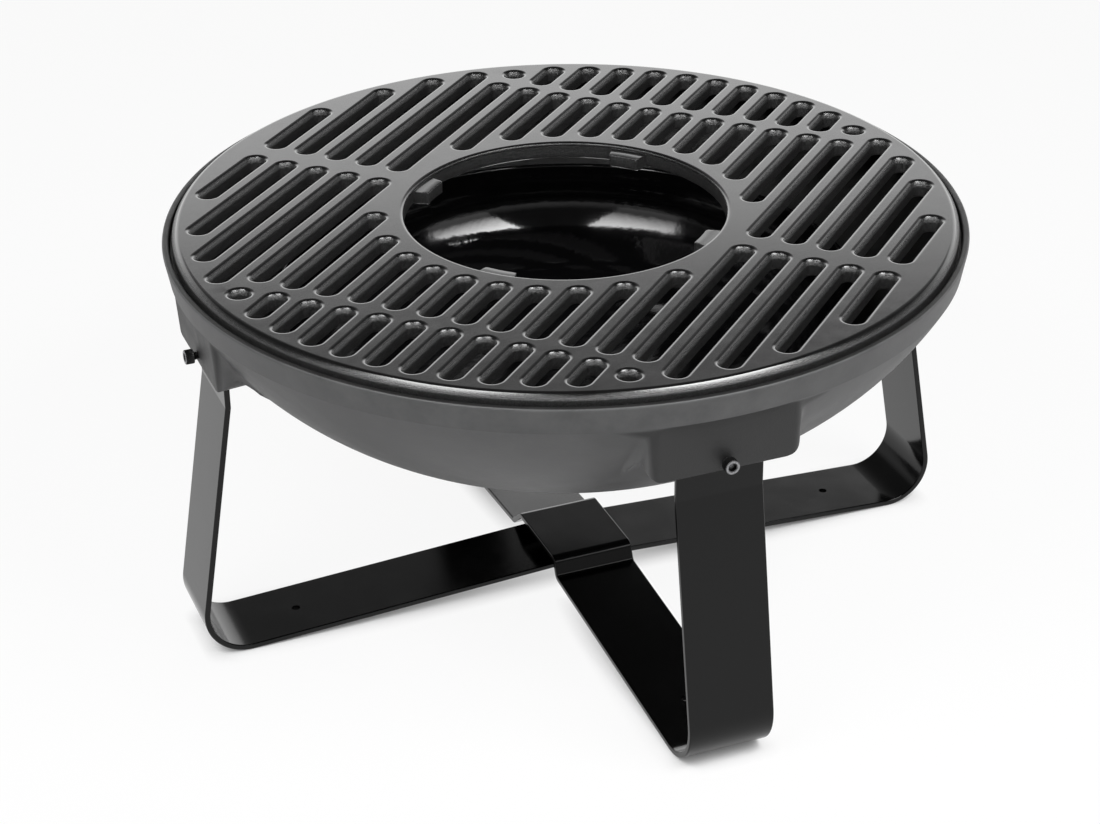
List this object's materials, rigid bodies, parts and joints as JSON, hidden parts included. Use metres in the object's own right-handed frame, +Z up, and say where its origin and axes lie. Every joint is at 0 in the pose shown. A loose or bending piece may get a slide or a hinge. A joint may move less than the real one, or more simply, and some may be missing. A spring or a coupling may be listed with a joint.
{
  "type": "fire pit",
  "caption": "Round cast iron fire bowl with a pan and a lift-off slotted grill grate, carried at its lugs by crossing bent flat-bar legs.",
  "frame": {"origin": "on the floor, below the centre of the bowl", "axes": "+Z up; +X along the lower strap to the right leg; +Y along the upper strap to the back leg"},
  "size_m": [0.566, 0.566, 0.282],
  "materials": {
    "bowl_iron": "satin black enamel over grainy cast iron",
    "pan_enamel": "gloss black enamel",
    "grate_iron": "satin black enamel, fine grain",
    "strap_coating": "satin black powder coat",
    "screw_steel": "black oxide with worn edges"
  },
  "bodies": {
    "stand": {"fire_bowl": "bowl_iron", "fire_pan": "pan_enamel", "lower_leg_strap": "strap_coating", "upper_leg_strap": "strap_coating", "leg_screw_right": "screw_steel", "leg_screw_back": "screw_steel", "leg_screw_left": "screw_steel", "leg_screw_front": "screw_steel"},
    "grate": {"grill_grate": "grate_iron"}
  },
  "joints": [
    {"name": "grate_lift", "type": "slide", "parent": "stand", "child": "grate", "axis": [0, 0, 1], "range_m": [0, 0.1]}
  ]
}
